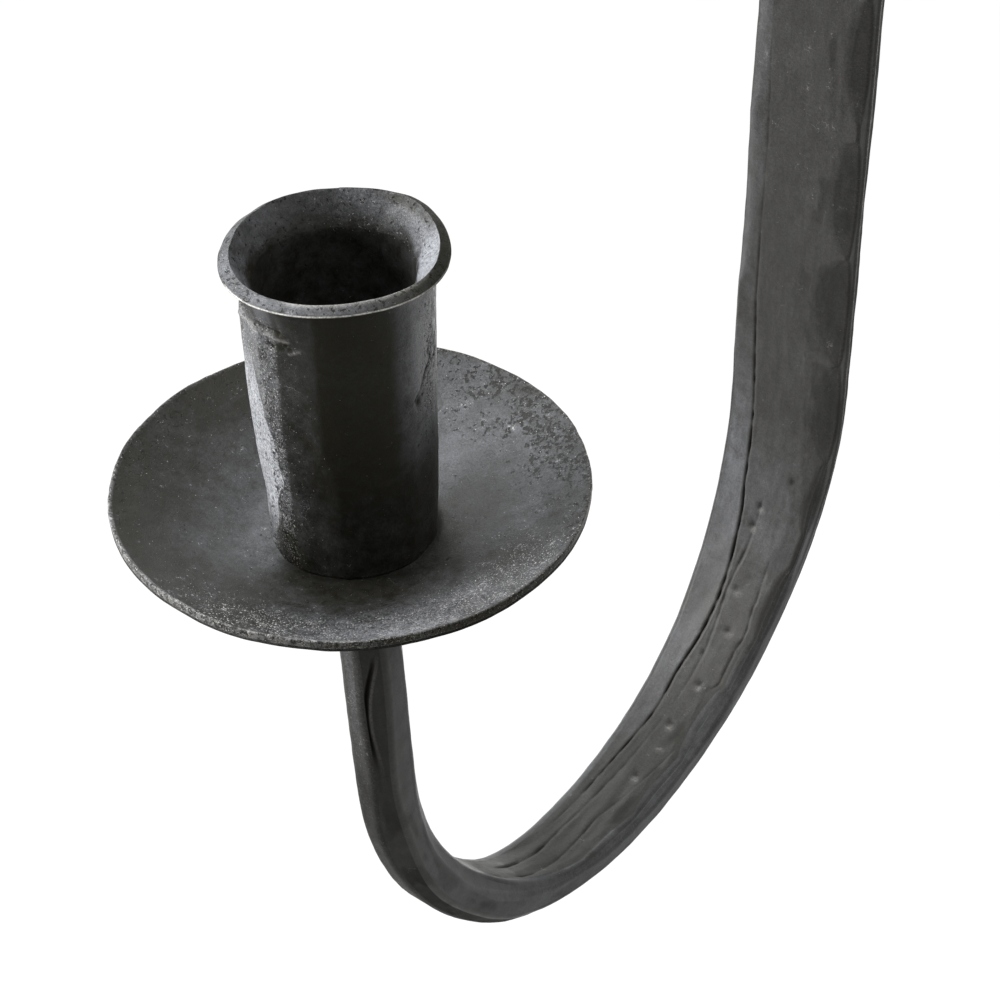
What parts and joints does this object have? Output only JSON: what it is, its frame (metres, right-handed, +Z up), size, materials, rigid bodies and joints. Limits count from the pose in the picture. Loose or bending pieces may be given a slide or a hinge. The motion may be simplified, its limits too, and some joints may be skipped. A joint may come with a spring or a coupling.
{
  "type": "wall candle holder",
  "caption": "Forged iron wall sconce for one taper candle: a flat bar swept into a J carries a round drip pan and a flared candle cup.",
  "frame": {"origin": "midway between the two wall screw holes, on the back face of the bar, which lies on the wall", "axes": "+Y into the wall, +Z up, +X sideways along the wall; the candle stands on the -Y side"},
  "size_m": [0.075, 0.1605, 0.2979],
  "materials": {
    "forged_iron": "hammered, oiled black",
    "sheet_iron": "hammered sheet, dark grey scale",
    "steel_fixings": "plain zinc grey"
  },
  "bodies": {
    "root": {"arm": "forged_iron", "drip_pan": "sheet_iron", "candle_cup": "sheet_iron", "cup_floor": "sheet_iron", "screw_washer": "steel_fixings", "clamp_screw": "steel_fixings"}
  },
  "joints": []
}
